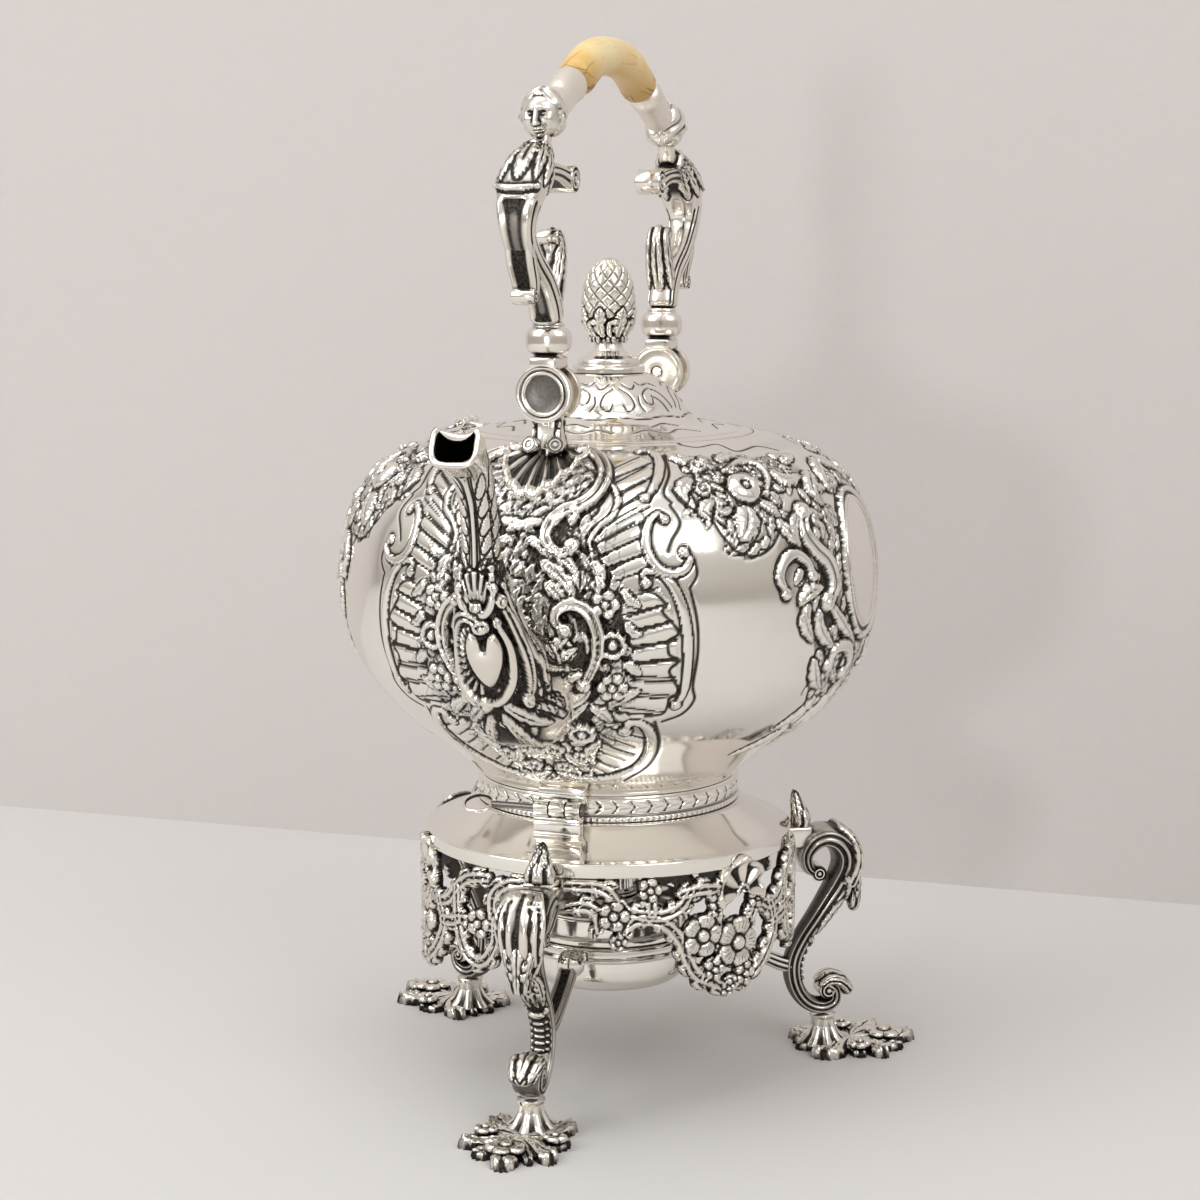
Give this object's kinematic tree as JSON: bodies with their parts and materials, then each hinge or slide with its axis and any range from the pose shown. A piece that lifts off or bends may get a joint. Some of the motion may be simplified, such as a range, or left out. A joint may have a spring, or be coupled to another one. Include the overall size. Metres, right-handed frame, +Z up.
{
  "type": "kettle on lamp stand",
  "caption": "Round kettle with a swing handle, hinged lid and spout, pinned at the front to a legged stand with a pierced apron and a lift-out spirit lamp.",
  "frame": {"origin": "on the table, under the middle of the object's outline seen from above", "axes": "+Z up, -Y the way the spout points, +X to the right of someone who faces the spout"},
  "size_m": [0.2228, 0.2588, 0.3909],
  "materials": {
    "polished_silver": "polished silver with a warm, lightly tarnished tone",
    "cast_silver": "cast and chased silver with dark recesses",
    "ivory": "polished ivory, yellowed, with fine dark cracks",
    "wick": "cotton wick"
  },
  "bodies": {
    "stand": {"stand_ring": "polished_silver", "leg_front": "cast_silver", "foot_front": "cast_silver", "lamp_arm_front": "cast_silver", "leg_right": "cast_silver", "foot_right": "cast_silver", "lamp_arm_right": "cast_silver", "leg_left": "cast_silver", "foot_left": "cast_silver", "lamp_arm_left": "cast_silver", "apron_right": "cast_silver", "apron_back": "cast_silver", "apron_left": "cast_silver", "lamp_ring": "polished_silver", "stand_hinge_leaf": "polished_silver"},
    "pin": {"hinge_pin": "polished_silver"},
    "kettle": {"kettle_body": "polished_silver", "foot_ring": "polished_silver", "mouth_rim": "polished_silver", "spout": "cast_silver", "kettle_hinge_leaf": "polished_silver", "lid_hinge_seat": "polished_silver", "handle_bracket_front": "cast_silver", "handle_bracket_back": "cast_silver"},
    "cover": {"lid": "polished_silver", "finial": "cast_silver", "finial_nut": "polished_silver", "lid_hinge_leaf": "polished_silver", "lid_hinge_pin": "polished_silver"},
    "handle": {"handle_scroll_front": "cast_silver", "handle_pin_front": "polished_silver", "ferrule_front": "polished_silver", "handle_scroll_back": "cast_silver", "handle_pin_back": "polished_silver", "ferrule_back": "polished_silver", "grip": "ivory"},
    "lamp": {"lamp_pot": "polished_silver", "lamp_cover": "polished_silver", "wick_tube": "polished_silver", "wick": "wick"},
    "snuffer": {"snuffer_cap": "polished_silver"}
  },
  "joints": [
    {"name": "kettle_tilt", "type": "hinge", "parent": "stand", "child": "kettle", "pos_m": [0, -0.02803, 0.113], "axis": [1, 0, 0], "range_deg": [0, 50]},
    {"name": "handle_swing", "type": "hinge", "parent": "kettle", "child": "handle", "pos_m": [0, 0.02897, 0.2645], "axis": [0, 1, 0], "range_deg": [-60, 60]},
    {"name": "lid_hinge", "type": "hinge", "parent": "kettle", "child": "cover", "pos_m": [-0.057, 0.02897, 0.248], "axis": [0, -1, 0], "range_deg": [0, 100]},
    {"name": "pin_slide", "type": "slide", "parent": "stand", "child": "pin", "axis": [-1, 0, 0], "range_m": [0, 0.02]},
    {"name": "lamp_lift", "type": "slide", "parent": "stand", "child": "lamp", "axis": [0, 0, 1], "range_m": [0, 0.02]},
    {"name": "snuffer_lift", "type": "slide", "parent": "lamp", "child": "snuffer", "axis": [0, 0, 1], "range_m": [0, 0.009]}
  ]
}
